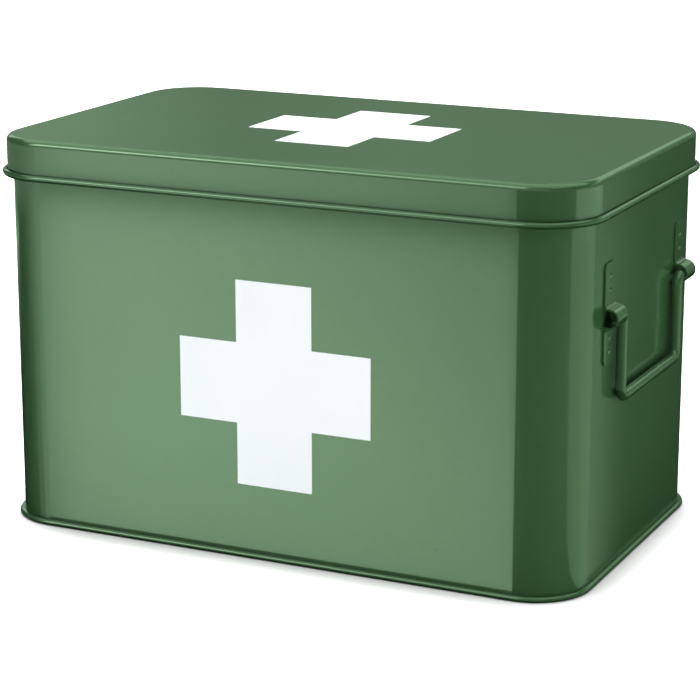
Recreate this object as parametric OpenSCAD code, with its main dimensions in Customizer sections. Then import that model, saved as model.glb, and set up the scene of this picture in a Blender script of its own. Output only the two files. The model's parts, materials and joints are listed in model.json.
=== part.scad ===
// Sheet-steel first aid box with a hinged lid, two wire carrying handles and a lift-out tray.
// Millimetres. The origin is the centre of the base on the floor, the front faces -Y and +Z is up.

/* [Body] */
// Width of the body over its end walls
body_w = 320; // [240:1:400]
// Depth of the body over its front and back walls
body_d = 196; // [150:1:260]
// Height of the body from the floor to the top of its rolled rim
body_h = 205.5; // [160:0.5:260]
// Outside radius of the body's upright corners
corner_r = 28; // [22:0.5:42]
// Thickness of the body and lid sheet
sheet_t = 0.8; // [0.6:0.1:1.2]
// Diameter of the rim, rolled inwards
rim_curl_d = 2.4; // [2:0.1:3]
// Width of the lapped seam down the middle of the back wall
lap_w = 8; // [5:0.5:14]
// How far the lapped seam stands proud of the back wall
lap_t = 0.5; // [0.3:0.1:0.8]

/* [Base] */
// Thickness of the base sheet
base_t = 0.8; // [0.6:0.1:1]
// How far the bottom seam stands out from the wall
seam_out = 2.7; // [2.6:0.1:5]
// Height of the bottom seam
seam_h = 2.9; // [2.7:0.1:4]
// Clearance between the folded sheets of the bottom seam
seam_play = 0.1; // [0.05:0.05:0.15]
// Distance of the pressed stiffening ring from the wall
base_ring_inset = 24; // [18:1:40]
// Radius of the pressed ring's round section
base_ring_r = 4; // [3:0.5:5]
// Height of the pressed ring
base_ring_h = 1.5; // [1:0.1:2]

/* [Lid] */
// Clearance between the wall and the lid's skirt
lid_gap = 2.3; // [2:0.1:3.5]
// Height of the lid from its rolled edge to its top
lid_h = 21; // [18:0.5:30]
// Outside radius between the lid's top and its skirt
lid_top_r = 3; // [2.5:0.5:6]
// How far the rolled edge stands out from the skirt
lid_bead_out = 2.6; // [2:0.1:3.4]
// Width of the slit where the rolled edge closes on the skirt
lid_bead_slit = 0.35; // [0.2:0.05:0.5]
// Clearance between the body's rim and the lid it carries
lid_seat_gap = 0.3; // [0.2:0.05:0.5]

/* [Printed crosses] */
// Size of the cross on the front over its arms
front_cross_size = 106.5; // [60:0.5:130]
// Width of the arms of the cross on the front
front_cross_arm = 42; // [20:0.5:50]
// Height of the middle of the cross on the front
front_cross_z = 92; // [80:1:110]
// Shift of the cross on the front to the right of the middle
front_cross_x = 2.5; // [-10:0.5:10]
// Size of the cross on the lid over its arms
lid_cross_size = 104; // [60:0.5:130]
// Width of the arms of the cross on the lid
lid_cross_arm = 41.5; // [20:0.5:50]
// Shift of the cross on the lid to the right of the middle
lid_cross_x = -1.5; // [-10:0.5:10]
// Shift of the cross on the lid behind the middle
lid_cross_y = 5; // [-10:0.5:10]
// Thickness of the printed layer
print_t = 0.15; // [0.1:0.05:0.3]

/* [Hinges] */
// Distance from an end wall's outer face to the middle of its hinge
hinge_inset = 65; // [50:1:90]
// Width of a hinge
hinge_w = 40; // [30:1:60]
// Width of the lid leaf's knuckle in the middle of a hinge
hinge_mid_w = 16; // [12:1:24]
// Thickness of the hinge leaves
hinge_t = 1.2; // [0.8:0.1:1.5]
// Diameter of the hinge pin
hinge_pin_d = 3; // [2.5:0.1:4]
// Radial clearance of the hinge pin in its knuckles
hinge_pin_play = 0.05; // [0.03:0.01:0.08]
// Diameter of the hinge pin's heads
hinge_head_d = 4.6; // [4.2:0.1:5.2]
// Thickness of the hinge pin's heads
hinge_head_t = 0.9; // [0.6:0.1:1.5]
// Clearance between neighbouring knuckles and at the pin's heads
knuckle_gap = 0.3; // [0.2:0.05:0.5]
// Height of the lid's rolled edge above the hinge axis
hinge_drop = 4.5; // [4.2:0.1:7]
// Clearance between the lid leaf and the lid's rolled edge
hinge_bead_gap = 0.4; // [0.3:0.05:0.8]
// Length of the body leaf below the hinge axis
body_leaf_l = 31; // [24:0.5:40]
// Height over which a leaf bends away from its sheet
leaf_joggle = 3; // [2.5:0.1:4]
// Radius of the corners of the hinge leaves and the handle brackets
flange_r = 2.5; // [1:0.5:4]

/* [Handles] */
// Height of the axis on which the bails swing
bail_z = 134.6; // [110:0.1:150]
// Shift of the handles behind the middle of the end walls
handle_shift = 5; // [-10:0.5:10]
// Diameter of the bail's wire
bail_wire_d = 5.6; // [4:0.1:6.5]
// Distance between the centrelines of the bail's legs
bail_w = 86; // [70:1:110]
// Distance from the swing axis to the centreline of the grip
bail_drop = 43.5; // [34:0.5:46]
// Radius of the bail's bends at the centreline
bail_bend_r = 5; // [4:0.5:7]
// Clearance between the hanging bail and the wall
bail_wall_gap = 1; // [0.5:0.1:2]
// Clearance between a bail's leg and the side of its bracket
bail_side_gap = 1.25; // [0.8:0.05:2]
// Distance of the wire's end from the outer side of its bracket
bail_end_inset = 7; // [2:0.5:8]
// Clearance between the wire and the far side of its loop
loop_gap = 0.4; // [0.3:0.05:0.6]
// Extra radius of the loop over the wire's radius
loop_play = 1.4; // [1:0.1:2]
// Width of a bracket
bracket_w = 14; // [11:0.5:20]
// Thickness of the bracket strap
bracket_t = 1; // [0.8:0.1:1.5]
// Height of a bracket above the swing axis
bracket_rise = 27; // [22:0.5:32]
// Length of a bracket below the swing axis
bracket_drop = 24; // [20:0.5:30]
// Radius of the bend between the strap and its loop
bracket_root_r = 2; // [0.5:0.1:2.5]
// Radius of the round tip that leaves a spot weld's mark
weld_ball_r = 4; // [3:0.5:6]
// Depth of a spot weld's mark
weld_depth = 0.5; // [0.1:0.05:0.6]
// Distance between two spot welds
weld_pitch = 7; // [5:0.5:9]

/* [Tray] */
// Height of the tray's flange above the floor
tray_z = 150; // [130:1:160]
// Depth of the tray under its flange
tray_depth = 42; // [25:1:70]
// Thickness of the tray's sheet
tray_t = 0.8; // [0.6:0.1:1]
// Clearance between the tray's edge and the wall
tray_gap = 2.2; // [1.8:0.1:4]
// Width of the flange at the ends of the tray
tray_end_flange = 12; // [10:0.5:16]
// Width of the flange along the front and back of the tray
tray_side_flange = 6; // [5:0.5:10]
// Radius of the pan's upright corners
pan_corner_r = 14; // [8:1:20]
// Diameter of the tray's rolled edge
tray_curl_d = 2.4; // [2:0.1:3]
// Clearance between the tray's flange and the ledge under it
tray_seat_gap = 0.3; // [0.2:0.05:0.5]
// Thickness of the ledges
ledge_t = 1; // [0.8:0.1:1.5]
// Width of a ledge
ledge_w = 12; // [10:0.5:13]
// Height of a ledge's welded flange
ledge_h = 12; // [8:0.5:18]
// Length of a ledge
ledge_l = 110; // [60:1:120]
// Thickness of the tray's carrier and dividers
divider_t = 1; // [0.8:0.1:1.5]
// Distance between the two cross dividers
divider_pitch = 96; // [60:1:140]
// Distance of the dividers' top edges below the flange
divider_drop = 4; // [2:0.5:10]
// Clearance of each divider in the slots where they cross
slot_play = 0.15; // [0.1:0.05:0.3]
// Width of the tabs that fasten the carrier to the pan
tab_w = 12; // [8:0.5:20]
// Height of the rolled grip's middle above the flange
grip_rise = 33; // [30:0.5:38]
// Length of the rolled grip
grip_l = 116; // [100:1:150]
// Diameter of the rolled grip
grip_d = 6; // [5:0.5:8]
// Length of the hand slot
hand_slot_l = 86; // [80:1:95]
// Height of the hand slot
hand_slot_h = 22; // [20:0.5:24]
// Width of the carrier's slope beside the grip
grip_slope = 14; // [8:1:20]

/* [Hidden] */
$fn = 72;

enamel = [0.30, 0.45, 0.30];
print_white = [0.97, 0.98, 0.98];
tray_white = [0.90, 0.91, 0.89];
zinc = [0.70, 0.71, 0.72];

LEFT = -1;
RIGHT = 1;
FRONT = -1;
REAR = 1;
// Length by which a cutting shape passes the face that it cuts
cut = 1;

// The lid sits on the rim with its inside fillet, or with its flat top where the fillet is small
rim_r = rim_curl_d / 2;
lid_in_r = lid_top_r - sheet_t;
seat_dx = max(0, lid_in_r - lid_gap - rim_r);
seat_reach = lid_in_r - rim_r - lid_seat_gap;
lid_clear = max(lid_seat_gap, lid_in_r - rim_r - sqrt(max(0, seat_reach * seat_reach - seat_dx * seat_dx)));
lid_in_z = body_h + lid_clear;
lid_top_z = lid_in_z + sheet_t;
lid_bottom_z = lid_top_z - lid_h;
lid_out = lid_gap + sheet_t;
lid_w = body_w + 2 * lid_out;
lid_d = body_d + 2 * lid_out;
lid_r = corner_r + lid_out;
lid_bead_d = lid_bead_out + sheet_t;

// Body sheet between the folds of the bottom seam
foot_z = base_t + seam_play;
foot_out = seam_out - seam_h / 2;
base_w = body_w + 2 * seam_out;
base_d = body_d + 2 * seam_out;
base_r = corner_r + seam_out;

// Hinge axis, so far out that the lid leaf passes outside the rolled edge
knuckle_r = hinge_pin_d / 2 + hinge_pin_play + hinge_t;
lid_leaf_y = body_d / 2 + lid_out + lid_bead_out + hinge_bead_gap;
hinge_y = lid_leaf_y + hinge_t - knuckle_r;
hinge_z = lid_bottom_z - hinge_drop;
leaf_gap = knuckle_r + knuckle_gap;
hinge_pitch = body_w - 2 * hinge_inset;

// Bail axis and the loops that hold the wire's ends
wire_r = bail_wire_d / 2;
loop_r = wire_r + loop_play;
loop_x = bail_wall_gap + wire_r - loop_play + loop_gap;
bracket_span = bail_w + bail_wire_d + 2 * bail_side_gap + bracket_w;
bail_end = bracket_span / 2 + bracket_w / 2 - bail_end_inset;

// Tray sizes, from the space inside the wall
tray_w = body_w - 2 * sheet_t - 2 * tray_gap;
tray_d = body_d - 2 * sheet_t - 2 * tray_gap;
tray_r = corner_r - sheet_t - tray_gap;
pan_w = tray_w - 2 * tray_end_flange;
pan_d = tray_d - 2 * tray_side_flange;
pan_in_w = pan_w - 2 * tray_t;
pan_in_d = pan_d - 2 * tray_t;
pan_floor_z = tray_z - tray_depth + tray_t;
flange_under_z = tray_z - tray_t;
divider_top_z = tray_z - divider_drop;
cross_mid_z = (pan_floor_z + divider_top_z) / 2;
grip_z = tray_z + grip_rise;
slot_w = divider_t + 2 * slot_play;

// Rectangle with round corners, as plain squares and circles
module round_rect(w, d, r) {
    square([w - 2 * r, d], center = true);
    square([w, d - 2 * r], center = true);
    for (x = [-1, 1], y = [-1, 1]) translate([x * (w / 2 - r), y * (d / 2 - r)]) circle(r);
}

// Sweeps a section round a rectangle with round corners; the section's X points outwards from the outline
module ring(w, d, r) {
    for (turn = [0:3]) {
        on_end = turn % 2 == 0;
        reach = (on_end ? w : d) / 2;
        length = (on_end ? d : w) - 2 * r;
        rotate([0, 0, 90 * turn]) {
            translate([reach, 0, 0]) rotate([90, 0, 0]) linear_extrude(length, center = true) children();
            translate([reach - r, length / 2, 0])
                rotate_extrude(angle = 90) translate([r, 0]) children();
        }
    }
}

// Extrudes a section that is drawn in Y and Z along X, from the middle or from x = 0
module along_x(length, center = true) {
    rotate([90, 0, 90]) linear_extrude(length, center = center) children();
}

// Extrudes a section that is drawn in X and Z along Y, from the middle
module along_y(length) {
    rotate([90, 0, 0]) linear_extrude(length, center = true) children();
}

module body_wall() {
    wall_top_z = body_h - rim_r;
    color(enamel) {
        translate([0, 0, foot_z]) linear_extrude(wall_top_z - foot_z) difference() {
            round_rect(body_w, body_d, corner_r);
            round_rect(body_w - 2 * sheet_t, body_d - 2 * sheet_t, corner_r - sheet_t);
        }
        translate([0, 0, foot_z]) linear_extrude(sheet_t) difference() {
            round_rect(body_w + 2 * foot_out, body_d + 2 * foot_out, corner_r + foot_out);
            round_rect(body_w - 2 * sheet_t, body_d - 2 * sheet_t, corner_r - sheet_t);
        }
        ring(body_w, body_d, corner_r) translate([-rim_r, wall_top_z]) circle(rim_r);
        back_lap();
    }
}

// The lap ends below the hinges' level and above the bottom seam
module back_lap() {
    lap_z = seam_h + lap_t;
    translate([-lap_w / 2, body_d / 2 - sheet_t / 2, lap_z])
        cube([lap_w, sheet_t / 2 + lap_t, hinge_z - lap_z]);
}

module base_panel() {
    ring_w = body_w - 2 * base_ring_inset;
    ring_d = body_d - 2 * base_ring_inset;
    ring_r = corner_r / 2;
    ring_z = base_ring_h - base_ring_r;
    color(enamel) difference() {
        union() {
            linear_extrude(base_t) round_rect(base_w - seam_h, base_d - seam_h, base_r - seam_h / 2);
            ring(base_w, base_d, base_r) seam_section();
            ring(ring_w, ring_d, ring_r) intersection() {
                translate([0, ring_z]) circle(base_ring_r + base_t);
                translate([-2 * base_ring_r, 0]) square(4 * base_ring_r);
            }
        }
        ring(ring_w, ring_d, ring_r) translate([0, ring_z]) circle(base_ring_r);
    }
}

// Fold of the base sheet round the foot of the wall, as a flat roll that is open towards the wall
module seam_section() {
    fold_l = seam_out - seam_play;
    intersection() {
        difference() {
            flat_roll(seam_h / 2);
            flat_roll(seam_h / 2 - base_t);
        }
        translate([-fold_l, 0]) square([fold_l, seam_h]);
    }
}

module flat_roll(r) {
    translate([-seam_h / 2, seam_h / 2]) {
        circle(r);
        translate([-seam_out, -r]) square([seam_out, 2 * r]);
    }
}

module lid_shell() {
    color(enamel) {
        ring(lid_w, lid_d, lid_r) lid_section();
        translate([0, 0, lid_in_z]) linear_extrude(sheet_t)
            round_rect(lid_w - 2 * lid_top_r, lid_d - 2 * lid_top_r, lid_r - lid_top_r);
    }
}

// Skirt with the rounded shoulder above it, the start of the flat top and the rolled edge below it
module lid_section() {
    bead_r = lid_bead_d / 2;
    bead_x = lid_bead_out - bead_r;
    bead_z = lid_bottom_z + bead_r;
    shoulder_z = lid_top_z - lid_top_r;
    translate([-sheet_t, bead_z]) square([sheet_t, shoulder_z - bead_z]);
    translate([-lid_top_r, shoulder_z]) {
        intersection() {
            difference() {
                circle(lid_top_r);
                circle(lid_in_r);
            }
            square(lid_top_r);
        }
        translate([-sheet_t, lid_in_r]) square(sheet_t);
    }
    difference() {
        translate([bead_x, bead_z]) circle(bead_r);
        translate([bead_x, bead_z]) circle(bead_r - sheet_t);
        translate([0, bead_z]) square([lid_bead_slit, bead_r + cut]);
    }
}

// Cross of two bars, as wide as it is high
module cross(size, arm) {
    square([size, arm], center = true);
    square([arm, size], center = true);
}

module front_cross() {
    color(print_white) translate([front_cross_x, -body_d / 2, front_cross_z])
        rotate([90, 0, 0]) linear_extrude(print_t) cross(front_cross_size, front_cross_arm);
}

module lid_cross() {
    color(print_white) translate([lid_cross_x, lid_cross_y, lid_top_z])
        linear_extrude(print_t) cross(lid_cross_size, lid_cross_arm);
}

// Barrel of a hinge knuckle, bored for the pin
module knuckle(width) {
    rotate([0, 90, 0]) cylinder(h = width, r = knuckle_r, center = true);
}

module pin_bore() {
    rotate([0, 90, 0]) cylinder(h = hinge_w + 2 * cut, r = hinge_pin_d / 2 + hinge_pin_play, center = true);
}

// Outline that rounds the free corners of a leaf; it is drawn in X and Z and cuts along Y
module leaf_outline(low_z, high_z) {
    translate([0, 0, (low_z + high_z) / 2])
        along_y(4 * body_d) round_rect(hinge_w, high_z - low_z, flange_r);
}

// Space round the hinge axis that a leaf leaves free over the given width
module knuckle_space(width) {
    cube([width, 2 * leaf_gap, 2 * leaf_gap], center = true);
}

// Leaf on the back wall, with a knuckle at each end of the hinge
module hinge_body_leaf(side) {
    wall_y = body_d / 2;
    top_y = hinge_y - knuckle_r;
    low_z = hinge_z - body_leaf_l;
    bend_z = hinge_z - leaf_gap - leaf_joggle;
    color(enamel) translate([side * hinge_pitch / 2, 0, 0]) difference() {
        union() {
            intersection() {
                along_x(hinge_w) polygon([
                    [wall_y, low_z], [wall_y + hinge_t, low_z],
                    [wall_y + hinge_t, bend_z - leaf_joggle], [top_y + hinge_t, bend_z],
                    [top_y + hinge_t, hinge_z], [top_y, hinge_z],
                    [top_y, bend_z], [wall_y, bend_z - leaf_joggle]
                ]);
                leaf_outline(low_z, hinge_z + leaf_gap);
            }
            translate([0, hinge_y, hinge_z]) knuckle(hinge_w);
        }
        translate([0, hinge_y, hinge_z]) {
            knuckle_space(hinge_mid_w + 2 * knuckle_gap);
            pin_bore();
        }
    }
}

// Leaf on the lid's skirt, bent over the rolled edge to the knuckle in the middle of the hinge
module hinge_lid_leaf(side) {
    skirt_y = body_d / 2 + lid_out;
    high_z = lid_top_z - lid_top_r;
    joggle_z = lid_bottom_z + lid_bead_d - leaf_joggle / 3;
    color(enamel) translate([side * hinge_pitch / 2, 0, 0]) difference() {
        union() {
            intersection() {
                along_x(hinge_w) polygon([
                    [lid_leaf_y, hinge_z], [lid_leaf_y + hinge_t, hinge_z],
                    [lid_leaf_y + hinge_t, joggle_z], [skirt_y + hinge_t, joggle_z + leaf_joggle],
                    [skirt_y + hinge_t, high_z], [skirt_y, high_z],
                    [skirt_y, joggle_z + leaf_joggle], [lid_leaf_y, joggle_z]
                ]);
                leaf_outline(hinge_z - leaf_gap, high_z);
            }
            translate([0, hinge_y, hinge_z]) knuckle(hinge_mid_w);
        }
        translate([0, hinge_y, hinge_z]) {
            for (end = [-1, 1]) translate([end * (hinge_mid_w + hinge_w) / 2, 0, 0]) knuckle_space(hinge_w);
            pin_bore();
        }
    }
}

module hinge_pin(side) {
    head_x = hinge_w / 2 + knuckle_gap;
    color(zinc) translate([side * hinge_pitch / 2, hinge_y, hinge_z]) rotate([0, 90, 0]) {
        cylinder(h = 2 * head_x + hinge_head_t, d = hinge_pin_d, center = true);
        for (end = [-1, 1]) translate([0, 0, end * (head_x + hinge_head_t / 2)])
            cylinder(h = hinge_head_t, d = hinge_head_d, center = true);
    }
}

// Places a handle piece on an end wall, with X pointing outwards from the wall and Z up from the swing axis
module on_end_wall(side, shift = 0) {
    translate([side * body_w / 2, handle_shift + shift, bail_z])
        mirror([side == LEFT ? 1 : 0, 0, 0]) children();
}

// Strap with a half-round loop, drawn outwards from the wall and up from the swing axis
module bracket_section() {
    arch_r = loop_r + bracket_t;
    difference() {
        union() {
            translate([0, -bracket_drop]) square([bracket_t, bracket_drop + bracket_rise]);
            translate([0, -arch_r]) square([loop_x, 2 * arch_r]);
            translate([loop_x, 0]) intersection() {
                circle(arch_r);
                translate([-loop_x, -arch_r]) square(2 * arch_r);
            }
            for (end = [0, 1]) mirror([0, end]) translate([bracket_t, arch_r]) difference() {
                square(bracket_root_r);
                translate([bracket_root_r, bracket_root_r]) circle(bracket_root_r);
            }
        }
        translate([-cut, -loop_r]) square([loop_x + cut, 2 * loop_r]);
        translate([loop_x, 0]) circle(loop_r);
    }
}

module bracket(side, end) {
    strap_l = bracket_rise + bracket_drop;
    weld_x = bracket_t + weld_ball_r - weld_depth;
    arch_top = loop_r + bracket_t;
    color(enamel) on_end_wall(side, end * bracket_span / 2) difference() {
        intersection() {
            along_y(bracket_w) bracket_section();
            translate([0, 0, (bracket_rise - bracket_drop) / 2])
                along_x(2 * strap_l) round_rect(bracket_w, strap_l, flange_r);
        }
        for (flange_z = [(arch_top + bracket_rise) / 2, -(arch_top + bracket_drop) / 2], step = [-1, 1])
            translate([weld_x, 0, flange_z + step * weld_pitch / 2]) sphere(weld_ball_r);
    }
}

// Quarter bend of the bail's wire round the origin, from the +Y side to the -Z side
module wire_bend() {
    rotate([0, 90, 0]) rotate_extrude(angle = 90) translate([bail_bend_r, 0]) circle(wire_r);
}

module wire(length) {
    cylinder(h = length, r = wire_r);
}

// Bail of bent wire, hanging from the swing axis in the plane of its legs
module bail(side) {
    leg_y = bail_w / 2;
    leg_l = bail_drop - 2 * bail_bend_r;
    color(enamel) on_end_wall(side) translate([bail_wall_gap + wire_r, 0, 0]) {
        translate([0, bail_bend_r - leg_y, -bail_drop]) rotate([-90, 0, 0]) wire(bail_w - 2 * bail_bend_r);
        for (end = [0, 1]) mirror([0, end, 0]) {
            translate([0, leg_y - bail_bend_r, bail_bend_r - bail_drop]) wire_bend();
            translate([0, leg_y, bail_bend_r - bail_drop]) wire(leg_l);
            translate([0, leg_y + bail_bend_r, -bail_bend_r]) rotate([180, 0, 0]) wire_bend();
            translate([0, leg_y + bail_bend_r, 0]) rotate([-90, 0, 0]) wire(bail_end - leg_y - bail_bend_r);
        }
    }
}

// Angle welded inside an end wall, on which the tray's flange rests
module tray_ledge(side) {
    ledge_z = flange_under_z - tray_seat_gap;
    color(enamel) mirror([side == LEFT ? 1 : 0, 0, 0])
        translate([body_w / 2 - sheet_t, 0, ledge_z]) along_y(ledge_l) {
            translate([-ledge_w, -ledge_t]) square([ledge_w, ledge_t]);
            translate([-ledge_t, -ledge_h]) square([ledge_t, ledge_h]);
        }
}

module tray_pan() {
    color(tray_white) {
        translate([0, 0, tray_z - tray_depth])
            linear_extrude(tray_t) round_rect(pan_w, pan_d, pan_corner_r);
        translate([0, 0, tray_z - tray_depth]) linear_extrude(tray_depth) difference() {
            round_rect(pan_w, pan_d, pan_corner_r);
            round_rect(pan_in_w, pan_in_d, pan_corner_r - tray_t);
        }
        translate([0, 0, flange_under_z]) linear_extrude(tray_t) difference() {
            round_rect(tray_w - tray_curl_d, tray_d - tray_curl_d, tray_r - tray_curl_d / 2);
            round_rect(pan_in_w, pan_in_d, pan_corner_r - tray_t);
        }
        ring(tray_w, tray_d, tray_r)
            translate([-tray_curl_d / 2, flange_under_z + tray_curl_d / 2]) circle(d = tray_curl_d);
    }
}

// Lengthwise plate that divides the tray and rises to a rolled grip over a hand slot
module tray_carrier() {
    half_l = pan_in_w / 2;
    half_grip = grip_l / 2;
    hand_slot_z = grip_z - grip_d - hand_slot_h / 2;
    color(tray_white) difference() {
        union() {
            along_y(divider_t) polygon([
                [-half_l, pan_floor_z], [half_l, pan_floor_z], [half_l, divider_top_z],
                [half_grip + grip_slope, divider_top_z], [half_grip, grip_z],
                [-half_grip, grip_z], [-half_grip - grip_slope, divider_top_z], [-half_l, divider_top_z]
            ]);
            for (end = [-1, 1])
                translate([end * (half_l - divider_t / 2), 0, (pan_floor_z + divider_top_z) / 2])
                    cube([divider_t, tab_w, divider_top_z - pan_floor_z], center = true);
            translate([0, 0, grip_z]) rotate([0, 90, 0]) cylinder(h = grip_l, d = grip_d, center = true);
        }
        translate([0, 0, hand_slot_z]) along_y(grip_d) {
            square([hand_slot_l - hand_slot_h, hand_slot_h], center = true);
            for (end = [-1, 1])
                translate([end * (hand_slot_l - hand_slot_h) / 2, 0]) circle(d = hand_slot_h);
        }
        for (end = [-1, 1]) translate([end * divider_pitch / 2 - slot_w / 2, -divider_t, pan_floor_z - cut])
            cube([slot_w, 2 * divider_t, cross_mid_z + slot_play - pan_floor_z + cut]);
    }
}

// Cross divider with a slot from above, where it crosses the carrier
module tray_divider(side) {
    color(tray_white) translate([side * divider_pitch / 2, 0, 0]) difference() {
        translate([-divider_t / 2, -pan_in_d / 2, pan_floor_z])
            cube([divider_t, pan_in_d, divider_top_z - pan_floor_z]);
        translate([-divider_t, -slot_w / 2, cross_mid_z])
            cube([2 * divider_t, slot_w, divider_top_z - cross_mid_z + cut]);
    }
}

body_wall();
base_panel();
lid_shell();
front_cross();
lid_cross();
hinge_body_leaf(LEFT);  // hinge_body_leaf_left
hinge_body_leaf(RIGHT);  // hinge_body_leaf_right
hinge_lid_leaf(LEFT);  // hinge_lid_leaf_left
hinge_lid_leaf(RIGHT);  // hinge_lid_leaf_right
hinge_pin(LEFT);  // hinge_pin_left
hinge_pin(RIGHT);  // hinge_pin_right
bracket(LEFT, FRONT);  // bracket_left_front
bracket(LEFT, REAR);  // bracket_left_rear
bracket(RIGHT, FRONT);  // bracket_right_front
bracket(RIGHT, REAR);  // bracket_right_rear
bail(LEFT);  // bail_left
bail(RIGHT);  // bail_right
tray_ledge(LEFT);  // tray_ledge_left
tray_ledge(RIGHT);  // tray_ledge_right
tray_pan();
tray_carrier();
tray_divider(LEFT);  // tray_divider_left
tray_divider(RIGHT);  // tray_divider_right
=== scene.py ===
"""First aid box: materials, surface details, camera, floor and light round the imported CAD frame."""
import json
import math

import bmesh
import bpy
from mathutils import Matrix, Vector


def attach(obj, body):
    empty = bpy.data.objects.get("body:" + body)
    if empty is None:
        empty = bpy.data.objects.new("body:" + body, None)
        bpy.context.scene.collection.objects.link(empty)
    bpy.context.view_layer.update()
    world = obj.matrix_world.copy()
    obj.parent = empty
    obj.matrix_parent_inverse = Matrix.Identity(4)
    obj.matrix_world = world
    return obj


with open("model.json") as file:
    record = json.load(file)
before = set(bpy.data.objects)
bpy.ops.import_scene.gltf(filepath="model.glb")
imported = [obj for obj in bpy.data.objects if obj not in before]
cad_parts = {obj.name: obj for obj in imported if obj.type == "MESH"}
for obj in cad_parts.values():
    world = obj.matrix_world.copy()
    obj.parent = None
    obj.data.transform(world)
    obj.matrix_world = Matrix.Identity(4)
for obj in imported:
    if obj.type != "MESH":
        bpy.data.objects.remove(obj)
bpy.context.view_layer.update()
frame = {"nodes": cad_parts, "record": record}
nodes = frame["nodes"]

MM = 0.001


# ---- Camera ----

SENSOR_WIDTH = 36
CLIP_NEAR, CLIP_FAR = 0.01, 60


def look_from(name, azimuth, elevation, distance, target, lens):
    """A camera round the object. Azimuth 0 looks along +Y, elevation is upwards, both in degrees."""
    a, e = math.radians(azimuth), math.radians(elevation)
    back = Vector((math.sin(a) * math.cos(e), -math.cos(a) * math.cos(e), math.sin(e)))
    right = Vector((math.cos(a), math.sin(a), 0))
    data = bpy.data.cameras.new(name)
    data.lens = lens
    data.sensor_width = SENSOR_WIDTH
    data.clip_start, data.clip_end = CLIP_NEAR, CLIP_FAR
    camera = bpy.data.objects.new(name, data)
    camera.matrix_world = Matrix.Translation(target + back * distance) @ Matrix(
        (right, back.cross(right), back)).transposed().to_4x4()
    bpy.context.scene.collection.objects.link(camera)
    return camera


bpy.context.scene.camera = look_from(
    "camera", azimuth=25.37, elevation=14.9, distance=1.2965,
    target=Vector((-0.00188, 0, 0.08723)), lens=124.35)


# ---- Materials ----

def new_tree(name):
    material = bpy.data.materials.new(name)
    material.use_nodes = True
    material.node_tree.nodes.clear()
    return material, material.node_tree


def add(tree, kind, inputs=None, **settings):
    """Adds a shader node; a value for an input may be a number, a colour or another node's output."""
    node = tree.nodes.new(kind)
    for key, value in settings.items():
        setattr(node, key, value)
    for key, value in (inputs or {}).items():
        if isinstance(value, bpy.types.NodeSocket):
            tree.links.new(value, node.inputs[key])
        else:
            node.inputs[key].default_value = value
    return node


def srgb(r, g, b):
    """Linear colour of an sRGB value from 0 to 255."""
    def linear(v):
        v /= 255
        return v / 12.92 if v <= 0.04045 else ((v + 0.055) / 1.055) ** 2.4
    return (linear(r), linear(g), linear(b), 1)


def noise(tree, coords, scale, detail=2.0, roughness=0.5, stretch=None):
    """Noise from 0 to 1, with its scale in bumps for each metre."""
    if stretch:
        coords = add(tree, "ShaderNodeMapping", {"Vector": coords, "Scale": stretch}).outputs["Vector"]
    return add(tree, "ShaderNodeTexNoise", {
        "Vector": coords, "Scale": scale, "Detail": detail, "Roughness": roughness}).outputs["Fac"]


def remap(tree, value, low, high, to_low=0.0, to_high=1.0):
    """Smooth step from to_low to to_high while the value goes from low to high."""
    return add(tree, "ShaderNodeMapRange", {
        "Value": value, "From Min": low, "From Max": high,
        "To Min": to_low, "To Max": to_high}, interpolation_type="SMOOTHSTEP").outputs["Result"]


def math_node(tree, operation, a, b):
    """Result of a math node; each of a and b may be a number or another node's output."""
    node = add(tree, "ShaderNodeMath", operation=operation)
    for socket, value in zip(node.inputs, (a, b)):
        if isinstance(value, bpy.types.NodeSocket):
            tree.links.new(value, socket)
        else:
            socket.default_value = value
    return node.outputs["Value"]


def mix(tree, factor, a, b):
    """Colour between a and b; a factor of 1 gives b."""
    node = add(tree, "ShaderNodeMix", data_type="RGBA")
    for socket, value in ((node.inputs[0], factor), (node.inputs[6], a), (node.inputs[7], b)):
        if isinstance(value, bpy.types.NodeSocket):
            tree.links.new(value, socket)
        else:
            socket.default_value = value
    return node.outputs[2]


def share(tree, mask, amount):
    """A mask that goes up to a given share instead of 1."""
    return math_node(tree, "MULTIPLY", mask, amount)


CREASE_REACH = 1.5 * MM
EDGE_RADIUS = 0.4 * MM


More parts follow.
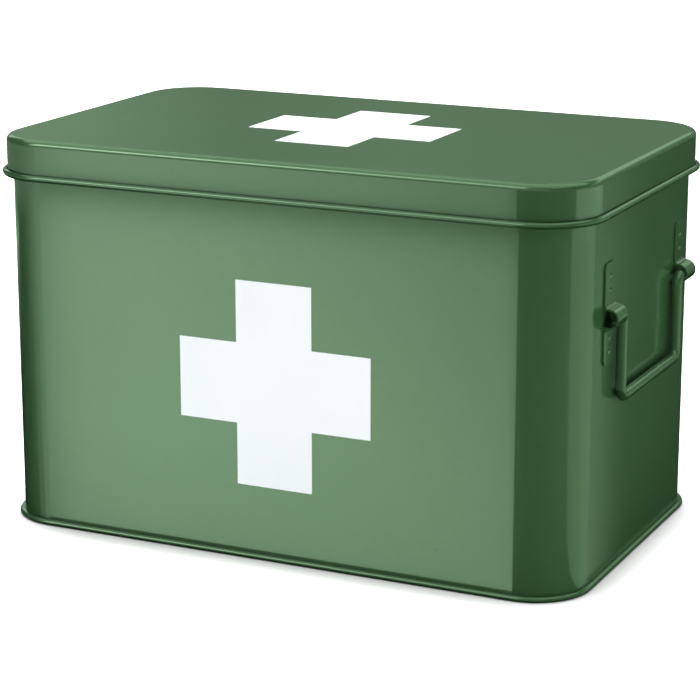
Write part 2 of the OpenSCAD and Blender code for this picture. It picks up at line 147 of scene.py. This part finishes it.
def enamel(name, tone, pale, deep_and_shade, gloss):
    """Sprayed enamel on sheet: clouds, nibs, painted shade in creases and on the undersides of rolled
    edges and wire, rubbed edges, orange peel and slight waves.
    Tone and pale make up the clouds; the darkest of the three colours serves the mottle, the nibs and
    the painted shade; gloss is the usual roughness."""
    material, tree = new_tree(name)
    places = add(tree, "ShaderNodeTexCoord").outputs
    coords = places["Object"]

    cloud = noise(tree, coords, scale=6, detail=3)
    fine = noise(tree, coords, scale=260, detail=4, roughness=0.6)
    colour = mix(tree, remap(tree, cloud, 0.3, 0.7), tone, pale)
    colour = mix(tree, share(tree, remap(tree, fine, 0.45, 0.75), 0.08), colour, deep_and_shade)
    nibs = remap(tree, noise(tree, coords, scale=420, detail=1), 0.775, 0.8)
    colour = mix(tree, share(tree, nibs, 0.5), colour, deep_and_shade)

    # Creases: painted shade, the colour darkened where surfaces close in, and the coat thinned there
    crevice = add(
        tree, "ShaderNodeAmbientOcclusion", {"Distance": CREASE_REACH}, samples=8).outputs["AO"]
    colour = mix(tree, share(tree, remap(tree, crevice, 0.9, 0.35), 0.6), colour, deep_and_shade)
    clear = remap(tree, crevice, 0.4, 0.85, 0.2, 1)

    # Painted shade on the undersides of rolled edges and wire, not on flat sheet that faces down: the
    # colour darkened there, with less coat and less shine
    up = add(tree, "ShaderNodeSeparateXYZ", {"Vector": places["Normal"]}).outputs["Z"]
    underside_shade = math_node(tree, "MULTIPLY", remap(tree, up, -0.03, -0.25), remap(tree, up, -0.98, -0.9))
    colour = mix(tree, share(tree, underside_shade, 0.9), colour, deep_and_shade)
    clear = math_node(tree, "MULTIPLY", clear, remap(tree, underside_shade, 0, 1, 1, 0.1))

    # Sharp edges, rubbed here and there
    normal = add(tree, "ShaderNodeNewGeometry").outputs["Normal"]
    rounded = add(tree, "ShaderNodeBevel", {"Radius": EDGE_RADIUS}, samples=4).outputs["Normal"]
    bend = add(
        tree, "ShaderNodeVectorMath", {0: normal, 1: rounded}, operation="DOT_PRODUCT").outputs["Value"]
    worn = remap(tree, noise(tree, coords, scale=90, detail=5, roughness=0.7), 0.45, 0.62)
    rub = math_node(tree, "MULTIPLY", remap(tree, bend, 0.985, 0.9), worn)
    colour = mix(tree, share(tree, rub, 0.5), colour, pale)

    smear = noise(tree, coords, scale=9, detail=3)
    roughness = remap(tree, smear, 0.3, 0.7, gloss - 0.015, gloss + 0.025)

    peel_height = noise(tree, coords, scale=420, detail=2)
    wave_height = noise(tree, coords, scale=9, detail=1)
    peel = add(tree, "ShaderNodeBump", {
        "Strength": 0.06, "Distance": 0.1 * MM, "Height": peel_height, "Normal": rounded})
    waves = add(tree, "ShaderNodeBump", {
        "Strength": 0.3, "Distance": 0.35 * MM, "Height": wave_height,
        "Normal": peel.outputs["Normal"]})

    shader = add(tree, "ShaderNodeBsdfPrincipled", {
        "Base Color": colour, "Roughness": roughness, "Normal": waves.outputs["Normal"],
        "IOR": 1.5, "Specular IOR Level": remap(tree, underside_shade, 0, 1, 0.25, 0.03),
        "Coat Weight": clear, "Coat Roughness": 0.07, "Coat Normal": waves.outputs["Normal"]})
    add(tree, "ShaderNodeOutputMaterial", {"Surface": shader.outputs["BSDF"]})
    return material


def print_ink(name):
    """White screen print: nearly even, with a faint grain and a few duller patches."""
    material, tree = new_tree(name)
    coords = add(tree, "ShaderNodeTexCoord").outputs["Object"]
    grain = noise(tree, coords, scale=1400, detail=3, roughness=0.7)
    patch = noise(tree, coords, scale=30, detail=3)
    colour = mix(tree, remap(tree, patch, 0.35, 0.7), srgb(245, 246, 253), srgb(243, 245, 252))
    colour = mix(tree, share(tree, remap(tree, grain, 0.6, 0.8), 0.08), colour, srgb(214, 220, 216))
    bump = add(tree, "ShaderNodeBump", {"Strength": 0.08, "Distance": 0.05 * MM, "Height": grain})
    shader = add(tree, "ShaderNodeBsdfPrincipled", {
        "Base Color": colour, "Roughness": remap(tree, patch, 0.3, 0.7, 0.42, 0.52),
        "Normal": bump.outputs["Normal"], "IOR": 1.45})
    add(tree, "ShaderNodeOutputMaterial", {"Surface": shader.outputs["BSDF"]})
    return material


def zinc_plate(name):
    """Bright zinc plating with a fine drawn grain along X and faint spangle."""
    material, tree = new_tree(name)
    coords = add(tree, "ShaderNodeTexCoord").outputs["Object"]
    grain = noise(tree, coords, scale=900, detail=3, roughness=0.6, stretch=(0.06, 1, 1))
    spangle = noise(tree, coords, scale=160, detail=2)
    colour = mix(tree, remap(tree, spangle, 0.3, 0.7), srgb(196, 198, 200), srgb(172, 176, 180))
    bump = add(tree, "ShaderNodeBump", {"Strength": 0.15, "Distance": 0.05 * MM, "Height": grain})
    shader = add(tree, "ShaderNodeBsdfPrincipled", {
        "Base Color": colour, "Metallic": 1.0, "Roughness": remap(tree, grain, 0.3, 0.7, 0.26, 0.42),
        "Normal": bump.outputs["Normal"]})
    add(tree, "ShaderNodeOutputMaterial", {"Surface": shader.outputs["BSDF"]})
    return material


finishes = {
    "green_enamel": enamel("green_enamel", tone=srgb(45, 78, 44), pale=srgb(48, 81, 47),
                           deep_and_shade=srgb(20, 44, 20), gloss=0.3),
    "white_print": print_ink("white_print"),
    "tray_enamel": enamel("tray_enamel", tone=srgb(226, 229, 224), pale=srgb(232, 234, 229),
                          deep_and_shade=srgb(168, 172, 166), gloss=0.32),
    "zinc_plate": zinc_plate("zinc_plate")}
for row in frame["record"]["subparts"]:
    mesh = nodes[row["node"]].data
    mesh.materials.clear()
    mesh.materials.append(finishes[row["material_slot"]])


# ---- Small surface details ----

# Rings of a spot-weld mark from its middle outwards: radius and height over the sheet, in mm
WELD_PROFILE = ((1.1, 0.04), (1.6, 0.1), (1.9, 0.28), (2.3, 0.26), (2.7, -0.02))
WELD_STEPS = 24

# Places of the marks: the hinges' middles, how far to their sides the marks lie, and the heights
HINGE_X = {"left": -0.095, "right": 0.095}
LEAF_WELD_DX = 12 * MM
BODY_LEAF_WELD_Z = (0.1565, 0.1655)
LID_LEAF_WELD_Z = 0.1975
LAP_WELD_Z = [(18 + 22 * k) * MM for k in range(8)]
BEHIND_Y = 0.3


def on_surface(node, start, direction):
    """Place and normal where a ray from start first meets a CAD node."""
    back = node.matrix_world.inverted()
    hit, place, normal, _ = node.ray_cast(back @ start, back.to_3x3() @ direction)
    assert hit, node.name
    return node.matrix_world @ place, (node.matrix_world.to_3x3() @ normal).normalized()


def weld_marks(name, body, places):
    """Spot-weld marks, each a shallow dish with a low rim, laid on sheet at the given places."""
    bm = bmesh.new()
    for place, normal in places:
        seat = Matrix.Translation(place) @ normal.to_track_quat("Z", "Y").to_matrix().to_4x4()
        rings = [[bm.verts.new(seat @ Vector((
            radius * MM * math.cos(step * math.tau / WELD_STEPS),
            radius * MM * math.sin(step * math.tau / WELD_STEPS), height * MM)))
            for step in range(WELD_STEPS)] for radius, height in WELD_PROFILE]
        bm.faces.new(rings[0])
        for inner, outer in zip(rings, rings[1:]):
            for k in range(WELD_STEPS):
                after = (k + 1) % WELD_STEPS
                bm.faces.new((inner[k], outer[k], outer[after], inner[after]))
    for face in bm.faces:
        face.smooth = True
    mesh = bpy.data.meshes.new(name)
    bm.to_mesh(mesh)
    bm.free()
    mesh.materials.append(finishes["green_enamel"])
    piece = bpy.data.objects.new(name, mesh)
    bpy.context.scene.collection.objects.link(piece)
    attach(piece, body)


def from_behind(node, spots):
    """Places on a CAD node that rays from behind the box meet at (x, z)."""
    return [on_surface(nodes[node], Vector((x, BEHIND_Y, z)), Vector((0, -1, 0))) for x, z in spots]


bpy.context.view_layer.update()
for side, x in HINGE_X.items():
    across = (x - LEAF_WELD_DX, x + LEAF_WELD_DX)
    weld_marks("body_leaf_welds_" + side, "case", from_behind(
        "hinge_body_leaf_" + side, [(w, z) for w in across for z in BODY_LEAF_WELD_Z]))
    weld_marks("lid_leaf_welds_" + side, "lid", from_behind(
        "hinge_lid_leaf_" + side, [(w, LID_LEAF_WELD_Z) for w in (*across, x)]))
weld_marks("back_lap_welds", "case", from_behind("body_wall", [(0, z) for z in LAP_WELD_Z]))


# ---- Floor, background and light ----

EYE = bpy.context.scene.camera.location

# Faces that mirror the boards, and the mirrored light's colour
FRONT_Y, SIDE_X = -0.098, 0.16
BOUNCE = (0.68, 1, 0.68, 1)
BOARD_Z = 2 * MM

FLOOR_HALF, TABLE_HALF = 20, 4
FLOOR_LIFT = 0.8
SHADOW_REACH = 32 * MM
TABLE_GLOW = 0.02


def stage_mesh(name, points, faces, material):
    mesh = bpy.data.meshes.new(name)
    mesh.from_pydata(points, [], faces)
    mesh.materials.append(material)
    thing = bpy.data.objects.new(name, mesh)
    bpy.context.scene.collection.objects.link(thing)
    return thing


def floor_material():
    """Pale floor that shows as white, with the object's own shadow on it, deepened at the box's foot by
    a painted contact shadow, and paler far off.
    """
    material, tree = new_tree("floor")
    coords = add(tree, "ShaderNodeTexCoord").outputs["Object"]
    colour = mix(tree, noise(tree, coords, scale=3, detail=2), srgb(246, 246, 246), srgb(243, 243, 243))
    diffuse = add(tree, "ShaderNodeBsdfDiffuse", {"Color": colour})
    far = add(tree, "ShaderNodeVectorMath", {0: coords}, operation="LENGTH").outputs["Value"]
    contact_shade = add(tree, "ShaderNodeAmbientOcclusion", {"Distance": SHADOW_REACH}, samples=16).outputs["AO"]
    level = remap(tree, far, 0.4, 3, FLOOR_LIFT, 1)
    # Painted contact shadow: the glow the camera sees drops where the box hems the floor in
    level = math_node(tree, "MULTIPLY", level, remap(tree, contact_shade, 0.55, 1.0))
    seen = add(tree, "ShaderNodeLightPath").outputs["Is Camera Ray"]
    glow = add(tree, "ShaderNodeEmission", {"Strength": math_node(tree, "MULTIPLY", seen, level)})
    both = add(tree, "ShaderNodeAddShader", {0: diffuse.outputs[0], 1: glow.outputs[0]})
    add(tree, "ShaderNodeOutputMaterial", {"Surface": both.outputs[0]})
    return material


stage_mesh(
    "floor", [(x * FLOOR_HALF, y * FLOOR_HALF, 0) for x, y in ((-1, -1), (1, -1), (1, 1), (-1, 1))],
    [(0, 1, 2, 3)], floor_material())


def glow_board(name, grid):
    """Studio board that only shows in reflections. Each corner of its grid is (x, y, z, glow)."""
    material, tree = new_tree(name)
    level = add(tree, "ShaderNodeAttribute", attribute_name="glow").outputs["Fac"]
    glow = add(tree, "ShaderNodeEmission", {"Color": BOUNCE, "Strength": level})
    add(tree, "ShaderNodeOutputMaterial", {"Surface": glow.outputs[0]})
    wide = len(grid[0])
    corners = [corner for row in grid for corner in row]
    faces = [(i, i + 1, i + 1 + wide, i + wide)
             for row in range(len(grid) - 1) for i in range(row * wide, row * wide + wide - 1)]
    board = stage_mesh(name, [corner[:3] for corner in corners], faces, material)
    glows = board.data.attributes.new("glow", "FLOAT", "POINT")
    glows.data.foreach_set("value", [corner[3] for corner in corners])
    board.visible_camera = board.visible_diffuse = board.visible_shadow = False


def seen_in_front(x, z):
    """Place on the floor that the front wall mirrors to the camera at (x, z)."""
    t = z / (EYE.z - z)
    return x + t * (x - EYE.x), FRONT_Y - t * (FRONT_Y - EYE.y)


def seen_in_side(y, z):
    """Place on the floor that the right end wall mirrors to the camera at (y, z)."""
    t = z / (EYE.z - z)
    return SIDE_X - t * (SIDE_X - EYE.x), y + t * (y - EYE.y)


glow_board("dark_table", [
    [(x, y, MM, TABLE_GLOW) for x in (-TABLE_HALF, TABLE_HALF)] for y in (-TABLE_HALF, TABLE_HALF)])

# Long soft box on the floor in front. FRONT_LEVELS is its glow by the height z on the front that
# mirrors it: bright from the foot up, dim just under the lid's bead, bright for the lid's skirt.
# FRONT_WIDTH goes by the place x.
FRONT_LEVELS = {
    0.0025: 1.4, 0.03: 1.52, 0.06: 1.65, 0.15: 1.65, 0.165: 1.6, 0.17: 1.4, 0.174: 1.15, 0.178: 0.8,
    0.182: 0.35, 0.185: 0, 0.187: 0, 0.189: 1.35, 0.2: 1.3, 0.226: 1.3, 0.3: 1.0, 0.35: 0.9}
FRONT_WIDTH = {
    -0.132: 1.5, -0.12: 2.1, -0.11: 2.35, -0.07: 2.4, 0.02: 2.1, 0.06: 1.95, 0.1: 1.75, 0.132: 1.7}
TILT, TILT_X, TILT_Z = 10, -0.02, 0.1


def front_glow(x, z):
    """Glow for a place on the front: a little more at the lower right and the upper left."""
    return FRONT_WIDTH[x] * FRONT_LEVELS[z] * (1 + TILT * (x - TILT_X) * (TILT_Z - z))


glow_board("front_board", [
    [(*seen_in_front(x, z), BOARD_Z, front_glow(x, z)) for x in FRONT_WIDTH] for z in FRONT_LEVELS])

# Board at the right that fades along the end wall. SIDE_FADE is its glow by the place y.
SIDE_FADE = {-0.07: 0.34, -0.055: 0.2, -0.03: 0.05, 0: 0}
SIDE_HEIGHTS = (0.004, 0.06, 0.12, 0.17, 0.205, 0.24)
glow_board("side_board", [
    [(*seen_in_side(y, z), BOARD_Z, level) for y, level in SIDE_FADE.items()] for z in SIDE_HEIGHTS])


# How far each ring of a fan lies from its corner, and which glow of a pair it takes
FAN_RINGS = ((0.004, 0), (0.8, 0), (0.95, 1), (1.7, 1))


def fan(name, corner, levels):
    """Board on the floor round a corner, with a glow near it (for the wall) and one far off (for the
    lid's skirt). The angle turns from straight ahead of the front to the right."""
    glow_board(name, [
        [(corner[0] + reach * math.sin(math.radians(angle)),
          corner[1] - reach * math.cos(math.radians(angle)),
          BOARD_Z, pair[far]) for angle, pair in levels.items()]
        for reach, far in FAN_RINGS])


fan("corner_board", (0.1583, -0.0747), {
    85: (0.72, 1.4), 110: (0.7, 1.4), 140: (0.5, 1), 160.3: (0.34, 0.3)})
fan("left_board", (-0.1293, -0.0938), {
    -147: (0, 0.1), -110: (0, 0.3), -87: (0, 0.5), -75: (0.1, 0.7), -60: (0.7, 1), -45: (1.6, 1.4),
    -33: (2.45, 1.9)})

# Board on the floor behind, for the back wall
REAR_WIDTH = {-0.9: 1.4, -0.2: 1.1, 0.14: 0.5}
REAR_DEPTH = {0.11: 0.5, 0.5: 1, 1.2: 1.2, 1.6: 0.4}
glow_board("rear_board", [
    [(x, y, BOARD_Z, across * up) for x, across in REAR_WIDTH.items()] for y, up in REAR_DEPTH.items()])

# Wall far behind that the lid's top mirrors
BACK_Y = 2.5
BACK_WIDTH = {
    -4: 0.26, -1.7: 0.26, -1.4: 0.17, -1.1: 0.2, -0.8: 0.18, 0.2: 0.18, 0.5: 0.22, 1.5: 0.22, 4: 0.15}
BACK_HEIGHTS = {0: 1, 0.9: 1, 1.1: 5, 1.5: 5, 1.8: 1, 2: 1}
glow_board("back_board", [
    [(x, BACK_Y, z, across * up) for x, across in BACK_WIDTH.items()]
    for z, up in BACK_HEIGHTS.items()])

# Soft box high in front at the left, which draws the bright lines along the lid's edge and the beads
BOX_Y = -2.6
BOX_WIDTH = {-2.8: 10, -1.7: 10, -1.35: 5, -0.9: 5, -0.2: 4}
glow_board("front_box", [[(x, BOX_Y, z, level) for x, level in BOX_WIDTH.items()] for z in (1.3, 3.6)])

# The rest of the room: its front wall and its ceiling
WALL_Y = -4
WALL_HEIGHTS = {0: 0.8, 3: 0.6}
glow_board("front_wall", [
    [(x, WALL_Y, z, level) for x in (-5, 3)] for z, level in WALL_HEIGHTS.items()])
CEILING_Z, CEILING_GLOW = 3, 1.6
glow_board("ceiling", [[(x, y, CEILING_Z, CEILING_GLOW) for x in (-3, 3)] for y in (-2.5, 2.5)])

# Sky for the even light: dim in reflections, white where the camera sees it
SKY, DARK = 0.6, 0.02

world = bpy.data.worlds.new("world")
world.use_nodes = True
tree = world.node_tree
tree.nodes.clear()
path = add(tree, "ShaderNodeLightPath").outputs
strength = remap(tree, path["Is Glossy Ray"], 0, 1, SKY, DARK)
strength = math_node(tree, "MAXIMUM", strength, path["Is Camera Ray"])
sky = add(tree, "ShaderNodeBackground", {"Color": (1, 1, 1, 1), "Strength": strength})
add(tree, "ShaderNodeOutputWorld", {"Surface": sky.outputs[0]})
bpy.context.scene.world = world
bpy.context.scene.view_settings.view_transform = "Standard"


LIGHTS_AIM = Vector((0, 0, 0.1))


def soft_light(name, place, size, power):
    """Square area light that faces the box and shows neither to the camera nor in reflections."""
    data = bpy.data.lights.new(name, "AREA")
    data.shape, data.size, data.energy = "SQUARE", size, power
    light = bpy.data.objects.new(name, data)
    light.location = place
    light.rotation_mode = "QUATERNION"
    light.rotation_quaternion = (LIGHTS_AIM - Vector(place)).to_track_quat("-Z", "Y")
    light.visible_camera = light.visible_glossy = False
    bpy.context.scene.collection.objects.link(light)


soft_light("key", place=(-2.0, -1.2, 1.5), size=1.2, power=3)
soft_light("top", place=(-0.2, 0.3, 2.3), size=1.6, power=60)
soft_light("fill", place=(0.45, -0.09, 0.1), size=0.3, power=0.6)
